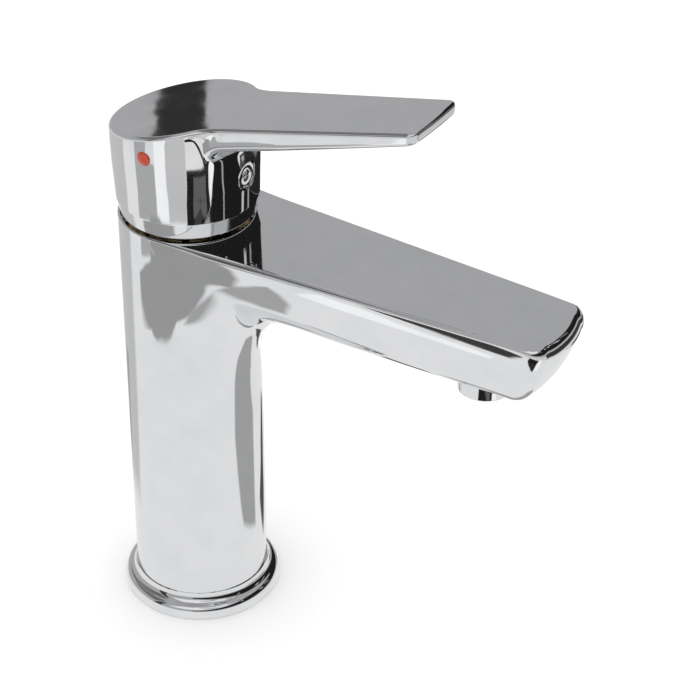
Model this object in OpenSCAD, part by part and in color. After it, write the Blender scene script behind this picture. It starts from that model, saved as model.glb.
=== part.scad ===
/* [Column and spout] */
// Radius of the round column
column_r = 23; // [22.5:0.5:25]
// Height of the flat spout top above the deck
top_z = 151.4; // [145:0.2:158]
// Distance from the column axis to the spout tip
spout_reach = 137.6; // [125:0.2:150]
// Height of the spout underside above the deck
spout_low_z = 125; // [120:0.5:128]
// Narrowing of each spout side, in millimetres per millimetre of reach
spout_taper = 0.055; // [0.04:0.005:0.07]
// Radius of the arch between column and spout
arch_r = 28; // [20:1:32]
// Distance from the column axis to the outlet axis
outlet_x = 110.6; // [100:0.2:118]

/* [Base ring] */
// Outer radius of the base ring
ring_r = 27.3; // [26.5:0.1:30]
// Height of the base ring
ring_h = 8.5; // [7:0.5:12]

/* [Handle] */
// Height of the lift pivot above the deck
pivot_z = 159; // [158.5:0.1:160]
// Height of the sloping handle top on the column axis
handle_top_z = 187.6; // [185:0.2:192]
// Slope of the handle top, rise over run
handle_slope = 0.248; // [0.2:0.01:0.3]
// Distance from the column axis to the lever tip
lever_reach = 91.3; // [80:0.5:100]
// Half width of the lever where it leaves the handle head
lever_root_w = 15.7; // [14:0.1:17]
// Half width of the lever at its tip
lever_tip_w = 13.1; // [11:0.1:15]
// Thickness of the lever at its tip
lever_tip_t = 4.2; // [3:0.1:6]
// Lowest height of the handle skirt
skirt_z = 152.2; // [152:0.1:153]
// Height of the grub screw axis
screw_z = 170; // [169:0.5:172]
// Height of the hot and cold index plugs
index_z = 180.6; // [178:0.2:181]

/* [Cartridge] */
// Outer radius of the cartridge housing
cart_r = 17.4; // [17.2:0.1:17.5]
// Height of the chamber floor that the cartridge stands on
floor_z = 119; // [118:0.5:120]
// Height of the ball at the spindle's lower end
ball_z = 138; // [137.5:0.1:138.5]
// Centre of the moving disc when the tap is closed
disc_x = -3.3; // [-3.5:0.1:-3]
// Half distance between the hot and cold ports
port_y = 8.5; // [8:0.1:9]
// Distance of the hot and cold ports behind the column axis
port_x = -5; // [-5.5:0.1:-4.5]

/* [Inlets and outlet] */
// Wall radius of the shank thread in the foot
shank_r = 16.5; // [15:0.5:17]
// Wall radius of the hose threads
hose_r = 4.5; // [4.4:0.05:4.6]
// Outer radius of the aerator sleeve
aerator_r = 8.7; // [8.5:0.1:9]
// Height of the aerator mouth above the deck
aerator_z = 121.7; // [120:0.1:123]

/* [Hidden] */
$fn = 96;

foot_h = 12;
column_bore_r = 20;
block_low_z = floor_z - 15;
thread_z = 137.5;
nut_top_z = 145;
nut_bore_r = 20.05;
recess_r = 23.5;
skirt_ball_r = 23.1;
skirt_inner_r = 20.8;
crease_z = 157.5;
head_r = 23.9;
head_flare_z = 177;
channel_r = 7.5;
channel_z = 137;
spindle_half = 3.9;
slot_half = 4.1;
pin_r = 1.5;
lever_gain = 6.24;
lever_drop = lever_tip_t + lever_gain;
lever_thin = lever_gain / lever_reach;
handle_cut_z = 216;
spout_edge_y = column_r - 0.1;

// Points on an arc in a plane, from one angle to another.
function arc(cx, cy, r, from, to, n = 10) =
  [for (i = [0:n]) let (a = from + (to - from) * i / n) [cx + r * cos(a), cy + r * sin(a)]];

// Height of the sloping handle top at a distance x from the axis.
function handle_z(x) = handle_top_z + handle_slope * x;

// Height of the lever underside at a distance x from the axis.
function lever_low_z(x) = handle_z(x) - lever_drop + lever_thin * x;

// Half width of the lever at a distance x from the axis.
function lever_w(x) = lever_root_w + (lever_tip_w - lever_root_w) * (x - column_r) / (lever_reach - column_r);

// A flat outline in X and Z, given its thickness across Y.
module across_y(width) {
  rotate([90, 0, 0])
    linear_extrude(width, center = true)
      children();
}

module tube(r_out, r_in, z_low, z_high) {
  translate([0, 0, z_low])
    difference() {
      cylinder(r = r_out, h = z_high - z_low);
      translate([0, 0, -1])
        cylinder(r = r_in, h = z_high - z_low + 2);
    }
}

// Side view of the spout: flat top, drooping nose, raked front face and level underside.
module spout_side_outline() {
  polygon(concat(
    [[0, spout_low_z], [spout_reach - 17, spout_low_z]],
    arc(spout_reach - 17, spout_low_z + 16, 16, -80, -28, 6),
    [[spout_reach - 0.4, top_z - 5.2], [spout_reach, top_z - 4.2], [spout_reach - 0.6, top_z - 3]],
    [[spout_reach - 2.5, top_z - 1.9], [spout_reach - 7, top_z - 0.9], [spout_reach - 16, top_z - 0.25]],
    [[spout_reach - 28, top_z], [0, top_z]]));
}

// Plan of the spout: tapering sides and rounded tip corners.
module spout_plan_outline() {
  corner_r = 7;
  tip_w = spout_edge_y - spout_taper * (spout_reach - corner_r);
  polygon(concat(
    [[0, -spout_edge_y]],
    arc(spout_reach - corner_r - 0.8, -tip_w + corner_r, corner_r, -90, -18, 6),
    [[spout_reach, 0]],
    arc(spout_reach - corner_r - 0.8, tip_w - corner_r, corner_r, 18, 90, 6),
    [[0, spout_edge_y]]));
}

// One flank of the spout: rolled top edge, leaning side and rounded underside.
module spout_flank(side) {
  d = top_z - spout_low_z;
  flank = concat(
    [[-60, 0], [-16, 0]],
    [[-12.4, 0.5], [-9.4, 1.9], [-6.9, 4.1], [-4.9, 7], [-3.2, 10.6], [-1.7, 15]],
    [[-0.4, d - 5.5], [0, d - 3], [0, d - 1.3], [-0.4, d - 0.45], [-1.3, d], [-60, d]]);
  mirror([0, side < 0 ? 1 : 0, 0])
    translate([0, spout_edge_y, spout_low_z])
      rotate([0, 0, -atan(spout_taper)])
        translate([-10, 0, 0])
          rotate([90, 0, 90])
            linear_extrude(spout_reach + 30)
              polygon(flank);
}

// The web under the spout: a flare around the column, trimmed to a tongue that narrows forwards.
module arch_web() {
  low_z = spout_low_z - arch_r;
  tongue_x = column_r + arch_r - 3;
  intersection() {
    rotate_extrude()
      polygon(concat(
        [[0, low_z]],
        arc(column_r + arch_r, low_z, arch_r, 180, 90, 10),
        [[column_r + arch_r, spout_low_z + 6], [0, spout_low_z + 6]]));
    translate([0, 0, low_z - 1])
      linear_extrude(arch_r + 10)
        polygon([[0, 19], [14, 17.5], [28, 14], [tongue_x - 4, 8.5], [tongue_x, 5],
          [tongue_x, -5], [tongue_x - 4, -8.5], [28, -14], [14, -17.5], [0, -19]]);
  }
}

module spout() {
  intersection() {
    across_y(60)
      spout_side_outline();
    translate([0, 0, spout_low_z - 5])
      linear_extrude(40)
        spout_plan_outline();
    spout_flank(1);
    spout_flank(-1);
  }
}

// The cast body: column, spout, cartridge chamber and waterway.
module body() {
  color("gainsboro")
    difference() {
      union() {
        cylinder(r = column_r, h = top_z - 0.6);
        translate([0, 0, top_z - 0.6])
          cylinder(r1 = column_r, r2 = column_r - 0.5, h = 0.6);
        arch_web();
        spout();
      }
      translate([0, 0, -1])
        cylinder(r = shank_r, h = foot_h + 2);
      translate([0, 0, foot_h])
        cylinder(r = column_bore_r, h = floor_z - 0.1 - foot_h);
      translate([0, 0, block_low_z - 1.6])
        cylinder(r = column_bore_r + 0.9, h = 1.6);
      translate([0, 0, floor_z - 1])
        cylinder(r = cart_r + 1.2, h = 15);
      translate([0, 0, floor_z])
        cylinder(r = cart_r + 0.2, h = 40);
      translate([0, 0, thread_z])
        cylinder(r = nut_bore_r, h = nut_top_z + 2.6 - thread_z);
      intersection() {
        translate([0, 0, pivot_z])
          sphere(r = recess_r);
        translate([0, 0, nut_top_z + 0.3])
          cylinder(r = 30, h = 40);
      }
      translate([cart_r - 4, 0, floor_z + 7.5])
        rotate([0, 72, 0])
          cylinder(r = 5, h = 38);
      translate([44, 0, channel_z])
        rotate([0, 90, 0])
          cylinder(r = channel_r, h = outlet_x + 5 - 44);
      translate([44, 0, channel_z])
        sphere(r = channel_r);
      translate([outlet_x, 0, spout_low_z - 5])
        cylinder(r = aerator_r + 0.3, h = 7.8);
      translate([outlet_x, 0, spout_low_z])
        cylinder(r = aerator_r - 0.45, h = 10);
    }
}

module base_ring() {
  color("gainsboro")
    rotate_extrude()
      polygon(concat(
        [[column_r + 0.05, 2.1], [column_r + 0.7, 2.1], [ring_r - 1.3, 2.1], [ring_r - 1.3, 0]],
        [[ring_r - 0.3, 0], [ring_r, 0.4], [ring_r, 2.4]],
        arc(ring_r - 2.6, 2.6, 2.6, 15, 78, 6),
        [[column_r + 1.5, 5.9], [column_r + 0.8, 6.9], [column_r + 0.35, ring_h], [column_r + 0.05, ring_h]]));
}

module base_gasket() {
  color("dimgray")
    tube(ring_r - 1.4, column_r + 0.1, 0, 2.05);
}

// The insert that the hoses screw into, with a port for each up to the chamber floor.
module inlet_block() {
  color("darkgoldenrod")
    difference() {
      translate([0, 0, block_low_z])
        cylinder(r = column_bore_r - 0.05, h = floor_z - block_low_z - 0.1);
      tube(column_bore_r + 1, column_bore_r - 1.7, block_low_z + 5, block_low_z + 7.4);
      for (side = [-1, 1])
        translate([port_x, side * port_y, block_low_z]) {
          translate([0, 0, -1])
            cylinder(r = hose_r, h = 11);
          cylinder(r = 3.2, h = 20);
        }
    }
}

module block_seal() {
  color("dimgray")
    tube(column_bore_r - 0.02, column_bore_r - 1.65, block_low_z + 5.1, block_low_z + 7.3);
}

module block_retainer() {
  color("silver")
    difference() {
      tube(column_bore_r + 0.8, column_bore_r - 2.2, block_low_z - 1.5, block_low_z - 0.05);
      translate([-30, -4, block_low_z - 3])
        cube([20, 8, 5]);
    }
}

module cartridge_housing() {
  color("white")
    difference() {
      union() {
        translate([0, 0, floor_z])
          cylinder(r = cart_r, h = thread_z - 0.1 - floor_z);
        translate([0, 0, thread_z - 1])
          cylinder(r = 14.5, h = 22);
      }
      translate([0, 0, floor_z - 1])
        cylinder(r = 15.2, h = 17.4);
      translate([0, 0, floor_z + 15])
        cylinder(r = 12.9, h = 22);
      translate([0, 0, 150])
        cylinder(r = 11.3, h = 20);
      tube(cart_r + 1, cart_r - 1.4, 133.9, 136.2);
      translate([12, -4.5, floor_z + 0.8])
        cube([10, 9, 3.6]);
    }
}

module cartridge_base() {
  color("royalblue")
    difference() {
      translate([0, 0, floor_z])
        cylinder(r = 15.1, h = 4.8);
      for (side = [-1, 1])
        translate([port_x, side * port_y, floor_z - 1]) {
          cylinder(r = 3.2, h = 10);
          cylinder(r = 5, h = 2.2);
        }
      translate([6, 0, floor_z + 1.2])
        cylinder(r = 4, h = 10);
      translate([6, -4, floor_z + 1.2])
        cube([12, 8, 2.8]);
    }
}

module port_seal(side) {
  color("dimgray")
    translate([port_x, side * port_y, 0])
      tube(4.9, 3.3, floor_z - 0.1, floor_z + 1.15);
}

module hot_seal() port_seal(-1);

module cold_seal() port_seal(1);

module housing_o_ring() {
  color("dimgray")
    tube(cart_r + 0.18, cart_r - 1.35, 134, 136.1);
}

module fixed_disc() {
  color("ivory")
    difference() {
      translate([0, 0, floor_z + 4.85])
        cylinder(r = 15.1, h = 3.5);
      for (side = [-1, 1])
        translate([port_x, side * port_y, floor_z])
          cylinder(r = 3.2, h = 12);
      translate([6, 0, floor_z])
        cylinder(r = 4, h = 12);
    }
}

module moving_disc() {
  low_z = floor_z + 8.4;
  color("ivory")
    difference() {
      translate([disc_x, 0, low_z])
        cylinder(r = 10.8, h = 3.9);
      translate([disc_x, 0, low_z - 1])
        cylinder(r = 7, h = 2.8);
    }
}

// The carrier that drives the moving disc from the spindle's ball.
module disc_carrier() {
  low_z = floor_z + 12.35;
  color("lightskyblue")
    difference() {
      union() {
        translate([disc_x, 0, low_z])
          cylinder(r = 10.8, h = 3.6);
        translate([-4.6, -spindle_half, low_z + 1])
          cube([9.2, 2 * spindle_half, ball_z + 2.5 - low_z - 1]);
      }
      translate([0, 0, ball_z - 3.6])
        cylinder(r = 3.25, h = 10);
    }
}

module rotor() {
  color("lightsteelblue")
    difference() {
      union() {
        translate([0, 0, 136])
          cylinder(r = 12.8, h = 13.9);
        translate([0, 0, 149])
          cylinder(r = 11.2, h = 12.8);
      }
      translate([-14, -slot_half, 135])
        cube([28, 2 * slot_half, 13]);
      translate([-7.2, -slot_half, 147])
        cube([14.4, 2 * slot_half, 20]);
      translate([0, 0, pivot_z])
        rotate([90, 0, 0])
          cylinder(r = pin_r, h = 40, center = true);
    }
}

module pivot_pin() {
  color("silver")
    translate([0, 0, pivot_z])
      rotate([90, 0, 0])
        cylinder(r = pin_r, h = 21.6, center = true);
}

// The spindle: square stem above the pivot, slim arm and ball below it.
module spindle() {
  color("silver")
    difference() {
      union() {
        translate([-spindle_half, -spindle_half, pivot_z - 6])
          cube([2 * spindle_half, 2 * spindle_half, 27]);
        translate([0, 0, 145])
          cylinder(r = 3, h = 10);
        translate([0, 0, ball_z])
          cylinder(r = 2, h = 10);
        translate([0, 0, ball_z])
          sphere(r = 3);
      }
      translate([0, 0, pivot_z])
        rotate([90, 0, 0])
          cylinder(r = pin_r + 0.05, h = 40, center = true);
    }
}

module cartridge_nut() {
  color("darkgoldenrod")
    difference() {
      tube(nut_bore_r - 0.1, 14.8, thread_z, nut_top_z);
      for (turn = [0:60:300])
        rotate([0, 0, turn])
          translate([17.2, -1.6, nut_top_z - 2.5])
            cube([5, 3.2, 4]);
    }
}

module bonnet() {
  color("gainsboro")
    rotate_extrude()
      polygon(concat(
        [[14.65, nut_top_z + 0.1], [16.2, nut_top_z + 0.1], [16.2, 152]],
        arc(12.2, 155.6, 4, 10, 90, 8),
        [[11.7, 159.6], [11.7, 158.7], [14.65, 158.7]]));
}

// Upright outline of the handle head: ball shaped skirt, crease and slightly flared wall.
module head_outline() {
  low_angle = asin((skirt_z - pivot_z) / skirt_ball_r);
  top_angle = asin((crease_z - pivot_z) / skirt_ball_r);
  polygon(concat(
    [[0, skirt_z]],
    arc(0, pivot_z, skirt_ball_r, low_angle, top_angle, 6),
    [[skirt_ball_r + 0.1, crease_z + 0.3], [skirt_ball_r + 0.25, 165], [head_r, head_flare_z]],
    [[head_r, handle_cut_z], [0, handle_cut_z]]));
}

// Plan of the lever, with a hollow blend on each side where it leaves the round head.
module lever_plan_outline() {
  blend_r = 12;
  blend_y = lever_w(column_r) + blend_r;
  blend_x = sqrt(pow(head_r - 0.6 + blend_r, 2) - blend_y * blend_y);
  start = 270 - atan(blend_x / blend_y) + 6;
  half = concat(
    arc(blend_x, blend_y, blend_r, start, 270, 8),
    [[lever_reach - 3.5, lever_w(lever_reach)]],
    arc(lever_reach - 3, lever_w(lever_reach) - 3, 3, 80, 0, 4));
  polygon(concat(
    [[0, 14]], half,
    [for (i = [len(half) - 1:-1:0]) [half[i][0], -half[i][1]]],
    [[0, -14]]));
}

// Side view of the lever: level above the handle's slope, thinning blade and a soft root under it.
module lever_side_outline() {
  root_x = column_r + 6;
  polygon([
    [0, lever_low_z(0) - 4], [column_r - 3, lever_low_z(column_r) - 6],
    [column_r, lever_low_z(column_r) - 4.4], [column_r + 2.2, lever_low_z(column_r) - 1.4],
    [root_x, lever_low_z(root_x)], [lever_reach - 1, lever_low_z(lever_reach - 1)],
    [lever_reach, lever_low_z(lever_reach) + 0.8], [lever_reach, handle_cut_z], [0, handle_cut_z]]);
}

// All that lies under a plane set above or below the handle's sloping top.
module under_slope(offset_z) {
  end_x = lever_reach + 10;
  across_y(80)
    polygon([[-40, 100], [end_x, 100], [end_x, handle_z(end_x) + offset_z], [-40, handle_z(-40) + offset_z]]);
}

// The handle: hollow round head over the cartridge, hub for the spindle, and the lever blade.
module handle() {
  color("gainsboro")
    difference() {
      intersection() {
        union() {
          rotate_extrude()
            head_outline();
          intersection() {
            across_y(60)
              lever_side_outline();
            translate([0, 0, 150])
              linear_extrude(80)
                lever_plan_outline();
          }
        }
        under_slope(0);
      }
      handle_cavity();
      translate([-spindle_half - 0.05, -spindle_half - 0.05, 150])
        cube([2 * spindle_half + 0.1, 2 * spindle_half + 0.1, pivot_z + 21.1 - 150]);
      translate([0, 0, screw_z])
        rotate([0, 90, 0])
          cylinder(r = 2.55, h = 12);
      translate([8, 0, screw_z])
        rotate([0, 90, 0])
          cylinder(r = 3.2, h = 20);
      translate([20.6, 0, screw_z])
        rotate([0, 90, 0])
          cylinder(r = 4.9, h = 5);
      for (side = [-1, 1])
        translate([1, side * 22.2, index_z])
          rotate([-90 * side, 0, 0])
            cylinder(r = 2.4, h = 5);
    }
}

// The hollow of the head: ball shaped below the pivot, round above it, with the hub left standing.
module handle_cavity() {
  difference() {
    intersection() {
      rotate_extrude()
        polygon(concat(
          [[0, 140], [skirt_inner_r * cos(50), 140]],
          arc(0, pivot_z, skirt_inner_r, -50, 0, 8),
          [[skirt_inner_r, 205], [0, 205]]));
      under_slope(-4.5);
    }
    translate([0, 0, 168])
      cylinder(r = 8.5, h = 30);
    translate([0, 0, screw_z])
      rotate([0, 90, 0])
        cylinder(r = 6, h = 30);
  }
}

module index_plug(side) {
  translate([1, 0, index_z])
    rotate([-90 * side, 0, 0]) {
      translate([0, 0, 22.3])
        cylinder(r = 2.35, h = head_r - 22.3 - 0.2);
      translate([0, 0, head_r - 0.5])
        cylinder(r1 = 2.35, r2 = 1.6, h = 0.6);
    }
}

module hot_index() {
  color("red")
    index_plug(-1);
}

module cold_index() {
  color("royalblue")
    index_plug(1);
}

module grub_screw() {
  color("dimgray")
    translate([spindle_half + 0.1, 0, screw_z])
      rotate([0, 90, 0])
        difference() {
          cylinder(r = 2.5, h = 6);
          translate([0, 0, 3])
            cylinder(r = 1.45, h = 5, $fn = 6);
        }
}

module screw_plug() {
  color("gainsboro")
    translate([20.65, 0, screw_z])
      rotate([0, 90, 0])
        difference() {
          union() {
            cylinder(r = 4.8, h = 1.6);
            translate([0, 0, 1.6])
              cylinder(r1 = 4.8, r2 = 3.6, h = 0.7);
          }
          translate([0, 0, 1.7])
            cylinder(r = 0.9, h = 2);
        }
}

module aerator_housing() {
  color("gainsboro")
    translate([outlet_x, 0, 0])
      difference() {
        union() {
          translate([0, 0, aerator_z])
            cylinder(r1 = aerator_r - 0.4, r2 = aerator_r, h = 0.5);
          translate([0, 0, aerator_z + 0.5])
            cylinder(r = aerator_r, h = spout_low_z + 2.7 - aerator_z - 0.5);
          translate([0, 0, spout_low_z])
            cylinder(r = aerator_r - 0.5, h = 8);
        }
        translate([0, 0, aerator_z - 1])
          cylinder(r = 6.6, h = 20);
        translate([0, 0, aerator_z + 1.6])
          cylinder(r = 7.2, h = 20);
      }
}

module aerator_insert() {
  color("lightgray")
    translate([outlet_x, 0, 0])
      difference() {
        translate([0, 0, aerator_z + 3.5])
          cylinder(r = 7.1, h = 7.5);
        translate([0, 0, aerator_z + 3])
          cylinder(r = 5.8, h = 6.4);
        for (turn = [0:45:315])
          rotate([0, 0, turn])
            translate([3.9, 0, aerator_z + 2])
              cylinder(r = 0.8, h = 12);
      }
}

module aerator_screen() {
  pitch = 2.2;
  color("lightgray")
    translate([outlet_x, 0, aerator_z + 1.7])
      difference() {
        cylinder(r = 7.1, h = 1.7);
        for (i = [-2:2])
          for (j = [-2:2])
            if (abs(i) + abs(j) < 4)
              translate([i * pitch - 0.8, j * pitch - 0.8, -1])
                cube([1.6, 1.6, 4]);
      }
}

module aerator_gasket() {
  color("dimgray")
    translate([outlet_x, 0, 0])
      tube(aerator_r - 0.6, 5.6, spout_low_z + 8.05, spout_low_z + 9.8);
}

body();
base_ring();
base_gasket();
inlet_block();
block_seal();
block_retainer();
cartridge_housing();
cartridge_base();
hot_seal();
cold_seal();
housing_o_ring();
fixed_disc();
moving_disc();
disc_carrier();
rotor();
pivot_pin();
spindle();
cartridge_nut();
bonnet();
handle();
hot_index();
cold_index();
grub_screw();
screw_plug();
aerator_housing();
aerator_insert();
aerator_screen();
aerator_gasket();
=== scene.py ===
import math
import bpy
import bmesh
from mathutils import Matrix, Quaternion, Vector


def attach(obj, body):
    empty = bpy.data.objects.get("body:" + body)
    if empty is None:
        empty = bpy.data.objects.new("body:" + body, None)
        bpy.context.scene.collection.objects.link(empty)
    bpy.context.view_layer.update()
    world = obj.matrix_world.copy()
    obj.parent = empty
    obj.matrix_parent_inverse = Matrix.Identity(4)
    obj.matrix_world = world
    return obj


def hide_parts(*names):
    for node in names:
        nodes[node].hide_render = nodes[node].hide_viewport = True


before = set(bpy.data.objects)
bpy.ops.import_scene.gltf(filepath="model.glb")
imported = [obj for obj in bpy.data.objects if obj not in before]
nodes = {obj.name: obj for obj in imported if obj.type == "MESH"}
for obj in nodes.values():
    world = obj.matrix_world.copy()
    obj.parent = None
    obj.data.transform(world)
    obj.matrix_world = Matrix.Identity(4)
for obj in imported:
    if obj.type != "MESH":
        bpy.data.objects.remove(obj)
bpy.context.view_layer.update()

# ---------------------------------------------------------------- cast body: column and spout
# The body is one brass casting: an upright round column that flows into a flat-topped, D-shaped
# spout. It is polished and chrome plated, bored from below for the hoses and from above for the
# cartridge, and its spout is tapped underneath for the aerator.

MM = 0.001
COLUMN_R = 23.0
TOP_Z = 151.4
SPOUT_REACH = 138.9
OUTLET_X = 110.6
PIVOT_Z = 159.0


def smooth(t):
    """0 to 1 with level ends."""
    t = min(max(t, 0.0), 1.0)
    return t * t * (3 - 2 * t)


def along(points, t):
    """A point on a broken line, at a share t of its length."""
    lengths = [0.0]
    for a, b in zip(points, points[1:]):
        lengths.append(lengths[-1] + math.dist(a, b))
    goal = t * lengths[-1]
    for i in range(1, len(points)):
        if goal <= lengths[i] + 1e-9:
            s = (goal - lengths[i - 1]) / max(lengths[i] - lengths[i - 1], 1e-9)
            return [p + (q - p) * s for p, q in zip(points[i - 1], points[i])]
    return list(points[-1])


def spline(points, steps=12):
    """A smooth curve through points, as a fine broken line."""
    out = []
    padded = [points[0]] + list(points) + [points[-1]]
    for i in range(1, len(padded) - 2):
        p0, p1, p2, p3 = padded[i - 1:i + 3]
        for k in range(steps):
            t = k / steps
            out.append([0.5 * (2 * b + (c - a) * t + (2 * a - 5 * b + 4 * c - d) * t * t
                               + (3 * b - a - 3 * c + d) * t ** 3)
                        for a, b, c, d in zip(p0, p1, p2, p3)])
    out.append(list(points[-1]))
    return out


def grid_piece(name, rows):
    """A mesh from rows of points in millimetres; a row shorter than the last joins its first points."""
    bm = bmesh.new()
    made = [[bm.verts.new([c * MM for c in p]) for p in row] for row in rows]
    for a, b in zip(made, made[1:]):
        for i in range(min(len(a), len(b)) - 1):
            bm.faces.new((a[i], a[i + 1], b[i + 1], b[i]))
    mesh = bpy.data.meshes.new(name)
    bm.to_mesh(mesh)
    bm.free()
    piece = bpy.data.objects.new(name, mesh)
    bpy.context.scene.collection.objects.link(piece)
    return piece


def only(piece):
    """Selects one piece alone and makes it active."""
    bpy.ops.object.select_all(action="DESELECT")
    piece.select_set(True)
    bpy.context.view_layer.objects.active = piece


def apply(piece, kind, **settings):
    """Adds a modifier, sets it and applies it."""
    only(piece)
    modifier = piece.modifiers.new(kind.lower(), kind)
    for key, value in settings.items():
        setattr(modifier, key, value)
    bpy.ops.object.modifier_apply(modifier=modifier.name)


def cut(piece, cutter):
    """Cuts one piece with another, then removes the cutter."""
    apply(piece, "BOOLEAN", operation="DIFFERENCE", object=cutter, solver="EXACT")
    bpy.data.objects.remove(cutter)


def face_out(piece):
    """Turns a closed piece's faces outwards if its volume reads as negative."""
    bm = bmesh.new()
    bm.from_mesh(piece.data)
    volume = bm.calc_volume(signed=True)
    bm.free()
    if volume < 0:
        piece.data.flip_normals()


WELD = 0.00002


def mirror_half(piece):
    """Mirrors a half across the middle plane, welds the seam and closes the openings."""
    apply(piece, "MIRROR", use_axis=(False, True, False), use_clip=True, merge_threshold=WELD)
    only(piece)
    bpy.ops.object.mode_set(mode="EDIT")
    bpy.ops.mesh.select_all(action="SELECT")
    bpy.ops.mesh.remove_doubles(threshold=WELD)
    bpy.ops.mesh.select_all(action="DESELECT")
    bpy.ops.mesh.select_non_manifold()
    bpy.ops.mesh.edge_face_add()
    bpy.ops.mesh.select_all(action="SELECT")
    bpy.ops.mesh.normals_make_consistent(inside=False)
    bpy.ops.mesh.select_all(action="DESELECT")
    bpy.ops.object.mode_set(mode="OBJECT")
    face_out(piece)


def spout_half_width(x):
    """Half the width of the spout's top; it narrows towards the tip."""
    return 23.03 - 0.0551 * x


# the D section: how far the side or the front stands in from the top edge, by height
D_SIDE = spline([(16.0, 0.0), (12.6, 0.45), (9.5, 1.85), (6.9, 4.1), (4.9, 7.0), (3.1, 11.0),
                 (1.6, 15.6), (0.55, 20.0), (0.0, 24.9)])
D_FRONT = spline([(18.2, 0.0), (14.9, 0.3), (11.6, 1.6), (8.9, 4.0), (6.3, 7.6), (4.3, 11.2),
                  (2.4, 15.6), (0.85, 19.6), (0.0, 22.2)])
SPOUT_LOW = 125.0
# lines along the spout, from the middle of its flat underside up to its top edge
FRONT_LINES = 26
FLAT_UNDER = 4
# heights and widths of the rolled top edge
SIDE_ROLL = 1.5
REAR_ROLL = 0.6
TIP_ROLL = 4.8
TIP_ROLL_DEEP = 2.7


def roll_height(u):
    """Height of the rolled top edge: small on the sides, tall at the tip."""
    return SIDE_ROLL + (TIP_ROLL - SIDE_ROLL) * smooth(u)


def rim_share(x):
    """0 where the edge passes close to the handle's seat and 1 from there on along the spout."""
    return smooth((x - 5) / 17)


def spout_level(j, u):
    """Side inset, front inset, height and share of the width of line j, for a side (0) or the tip (1)."""
    if j <= FLAT_UNDER:
        return 16.0, 17.5, SPOUT_LOW, j / FLAT_UNDER
    t = (j - FLAT_UNDER) / (FRONT_LINES - FLAT_UNDER)
    side = along(D_SIDE, t)
    front = along(D_FRONT, t)
    top = TOP_Z - roll_height(u)
    z_side = SPOUT_LOW + side[1] * (TOP_Z - SIDE_ROLL - SPOUT_LOW) / D_SIDE[-1][1]
    z_front = SPOUT_LOW + front[1] * (top - SPOUT_LOW) / D_FRONT[-1][1]
    return side[0], front[0], z_side + (z_front - z_side) * smooth(u), 1.0


def side_y(j, x):
    """Distance of line j from the middle plane, on the spout's side."""
    side_in, _, _, flat = spout_level(j, 0)
    w = spout_half_width(x)
    return (w - side_in * (w / 20.3)) * flat


def arm_point(j, x):
    """A point of line j on the spout's side."""
    z = spout_level(j, 0)[2]
    if j == FRONT_LINES:
        z += (SIDE_ROLL - REAR_ROLL) * (1 - rim_share(x))
    return [x, side_y(j, x), z]


TIP_START = 104.0
TIP_CORNER = 5.2
FRONT_BOW = 1.5


def tip_point(j, s):
    """Round the tip: s from 0 on the side to 1 on the middle plane."""
    _, front_in, z0, flat = spout_level(j, 0)
    z1 = spout_level(j, 1)[2]
    x0, end = TIP_START, SPOUT_REACH - front_in
    if j <= FLAT_UNDER:
        end = SPOUT_REACH - D_FRONT[0][0] - 1.5 * (1 - flat)
    y0 = side_y(j, x0)
    corner = min(TIP_CORNER * (y0 / 17.0) + 0.4, y0 * 0.9) if y0 > 0 else 0
    xc = end - FRONT_BOW * (y0 / 17) ** 2 - corner
    yc = side_y(j, xc) - corner
    side = [(x0, y0), (xc, side_y(j, xc))]
    bend = [side[1]]
    for i in range(1, 13):
        a = math.pi / 2 * i / 12
        bend.append((xc + corner * math.sin(a), yc + corner * math.cos(a)))
    # the front is slightly convex across
    x1, y1 = bend[-1]
    front = [bend[-1]]
    for i in range(1, 9):
        t = i / 8
        front.append((x1 + (end - x1) * (1 - (1 - t) ** 2), y1 * (1 - t)))
    # the steps are shared out between side, corner and front
    if s < 0.4:
        x, y = along(side, s / 0.4)
    elif s < 0.75:
        x, y = along(bend, (s - 0.4) / 0.35)
    else:
        x, y = along(front, (s - 0.75) / 0.25)
    return [x, y, z0 + (z1 - z0) * smooth((s - 0.25) / 0.6)]


# how far line j's bend from the column into the spout reaches, from wide underneath to sharp on top
BEND_R = [28 * (1 - (j / FRONT_LINES)) ** 0.9 for j in range(FRONT_LINES + 1)]
LEAST_REACH = 2.4


def theta_of(j):
    """Angle of line j round the column; the first ones run on under and beside the spout."""
    return math.pi / 2 * j / FRONT_LINES


def bend_point(j, t, level, reach):
    """Through the bend of front line j: t is -1 on the column, 0 at the corner and 1 on the spout."""
    a = theta_of(j)
    xk, yk = COLUMN_R * math.cos(a), COLUMN_R * math.sin(a)
    q = math.pi / 4 * (t + 1)
    round_x, round_z = reach * (1 - math.cos(q)), -reach + reach * math.sin(q)
    sharp_x, sharp_z = max(t, 0) * reach, min(t, 0) * reach
    share = BEND_R[j] / reach
    x = xk + sharp_x + (round_x - sharp_x) * share
    z = level + sharp_z + (round_z - sharp_z) * share
    y = yk + (side_y(j, x) - yk) * smooth((t + 1) / 2)
    return [x, y, z]


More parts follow.
